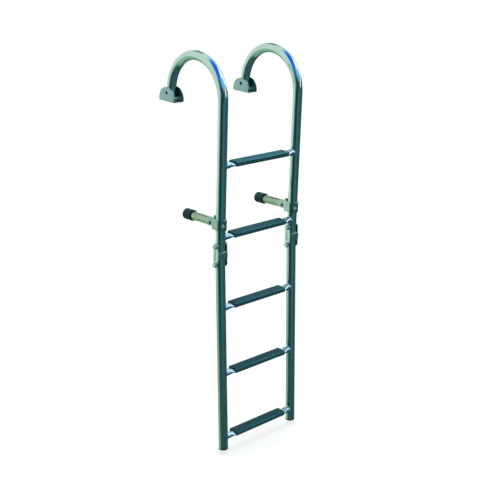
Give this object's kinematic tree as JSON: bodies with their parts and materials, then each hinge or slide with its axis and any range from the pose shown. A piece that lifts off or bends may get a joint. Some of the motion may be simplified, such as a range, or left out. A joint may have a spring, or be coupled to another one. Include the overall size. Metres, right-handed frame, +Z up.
{
  "type": "folding boat boarding ladder",
  "caption": "Narrow stainless boarding ladder that folds at a double-pivot hinge, with deck hooks on pivoting feet, flat treads and swivelling stand-offs.",
  "frame": {"origin": "underside of the left deck bracket, at the middle of its screw pattern and under its pivot pin", "axes": "+Z up, +X along the rungs from the left upright to the right one, +Y inboard towards the hull and deck; the upright plane is at y = -200 mm"},
  "size_m": [0.291, 0.2723, 1.0433],
  "materials": {
    "polished_steel": "mirror-polished stainless steel",
    "satin_steel": "satin stainless steel plate",
    "tread_plastic": "dark teal moulded plastic, finely ribbed",
    "cap_rubber": "smooth dark rubber",
    "plug_plastic": "dark moulded plastic"
  },
  "bodies": {
    "deck_brackets": {"deck_bracket_left": "satin_steel", "deck_bracket_right": "satin_steel", "bracket_pin_left": "polished_steel", "bracket_pin_right": "polished_steel"},
    "upper_section": {"upper_upright_left": "polished_steel", "upper_upright_right": "polished_steel", "standoff_clamp_left": "polished_steel", "standoff_clamp_right": "polished_steel", "clamp_screw_left": "polished_steel", "clamp_screw_right": "polished_steel", "standoff_bolt_left": "polished_steel", "standoff_bolt_right": "polished_steel", "rung_1": "polished_steel", "rung_2": "polished_steel", "tread_1": "tread_plastic", "tread_2": "tread_plastic"},
    "hinge_links": {"hinge_channel_left": "polished_steel", "hinge_channel_right": "polished_steel", "hinge_pin_upper_left": "polished_steel", "hinge_pin_upper_right": "polished_steel", "hinge_pin_lower_left": "polished_steel", "hinge_pin_lower_right": "polished_steel"},
    "lower_section": {"lower_upright_left": "polished_steel", "lower_upright_right": "polished_steel", "end_plug_left": "plug_plastic", "end_plug_right": "plug_plastic", "rung_3": "polished_steel", "rung_4": "polished_steel", "rung_5": "polished_steel", "tread_3": "tread_plastic", "tread_4": "tread_plastic", "tread_5": "tread_plastic"},
    "standoff_left": {"standoff_tube_left": "polished_steel", "standoff_cap_left": "cap_rubber"},
    "standoff_right": {"standoff_tube_right": "polished_steel", "standoff_cap_right": "cap_rubber"}
  },
  "joints": [
    {"name": "ladder_swing", "type": "hinge", "parent": "deck_brackets", "child": "upper_section", "pos_m": [0, 0, 0.022], "axis": [-1, 0, 0], "range_deg": [0, 90]},
    {"name": "upper_fold", "type": "hinge", "parent": "upper_section", "child": "hinge_links", "pos_m": [0, -0.2, -0.333], "axis": [-1, 0, 0], "range_deg": [0, 88.5]},
    {"name": "lower_fold", "type": "hinge", "parent": "hinge_links", "child": "lower_section", "pos_m": [0, -0.20126, -0.38098], "axis": [-1, 0, 0], "range_deg": [0, 88.5]},
    {"name": "standoff_left_pivot", "type": "hinge", "parent": "upper_section", "child": "standoff_left", "pos_m": [0, -0.171, -0.277], "axis": [1, 0, 0], "range_deg": [-80, 80]},
    {"name": "standoff_right_pivot", "type": "hinge", "parent": "upper_section", "child": "standoff_right", "pos_m": [0.25, -0.171, -0.277], "axis": [1, 0, 0], "range_deg": [-80, 80]}
  ],
  "couplings": [
    {"joint": "lower_fold", "follows": "upper_fold", "ratio": 1}
  ]
}
